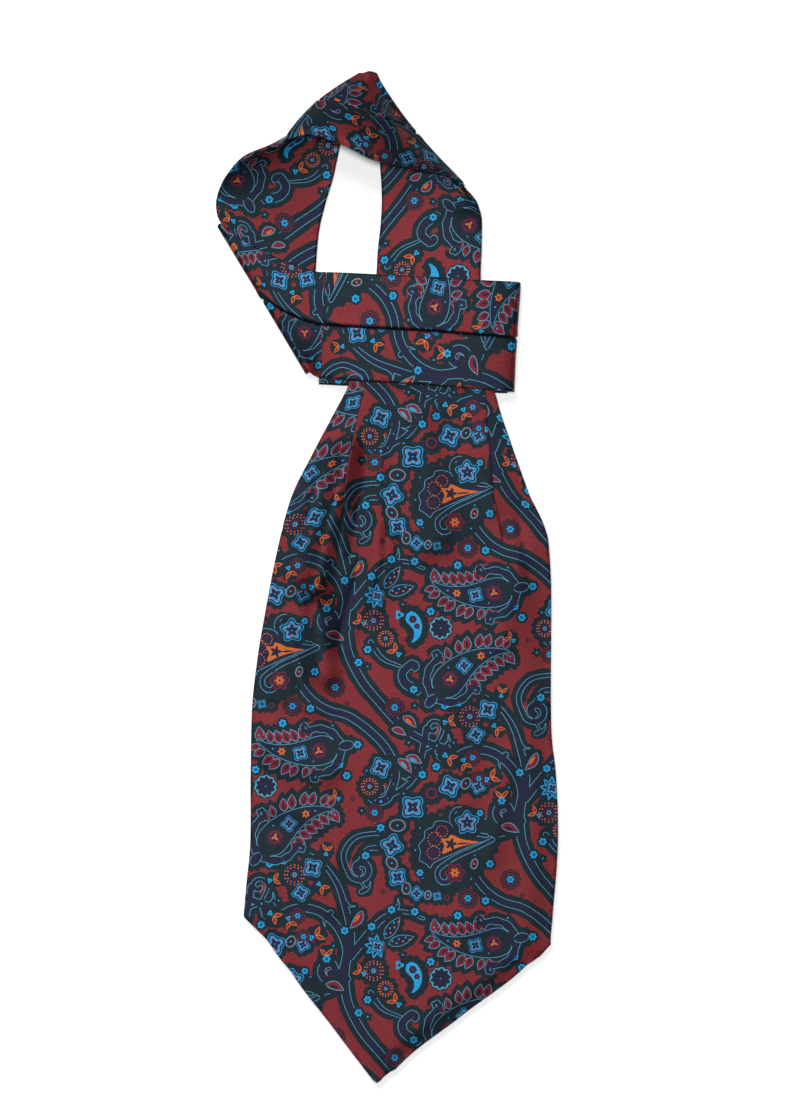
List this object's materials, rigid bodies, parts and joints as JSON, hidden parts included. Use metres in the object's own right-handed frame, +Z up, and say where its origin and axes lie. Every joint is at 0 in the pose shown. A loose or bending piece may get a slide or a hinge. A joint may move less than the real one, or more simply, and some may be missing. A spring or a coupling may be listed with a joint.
{
  "type": "silk cravat",
  "caption": "Silk paisley cravat laid flat: a pointed pleated blade under a folded neckband that crosses its neck, with the open neck loop above",
  "frame": {"origin": "on the table under the middle of the whole cravat", "axes": "+Z up from the table, +Y along the blade from its point to the neck loop, +X to the right as seen from above"},
  "size_m": [0.171, 0.5042, 0.0262],
  "materials": {
    "printed_silk": "fine silk twill with a soft sheen, wine red with a navy, teal and light blue paisley print",
    "lining_silk": "the same silk as a back panel, plain dark wine at its edge"
  },
  "bodies": {
    "root": {"blade_front": "printed_silk", "blade_back": "lining_silk", "loop_right": "printed_silk", "loop_top": "printed_silk", "loop_left": "printed_silk", "band_turn": "printed_silk", "band_front": "printed_silk", "band_return": "printed_silk"}
  },
  "joints": []
}
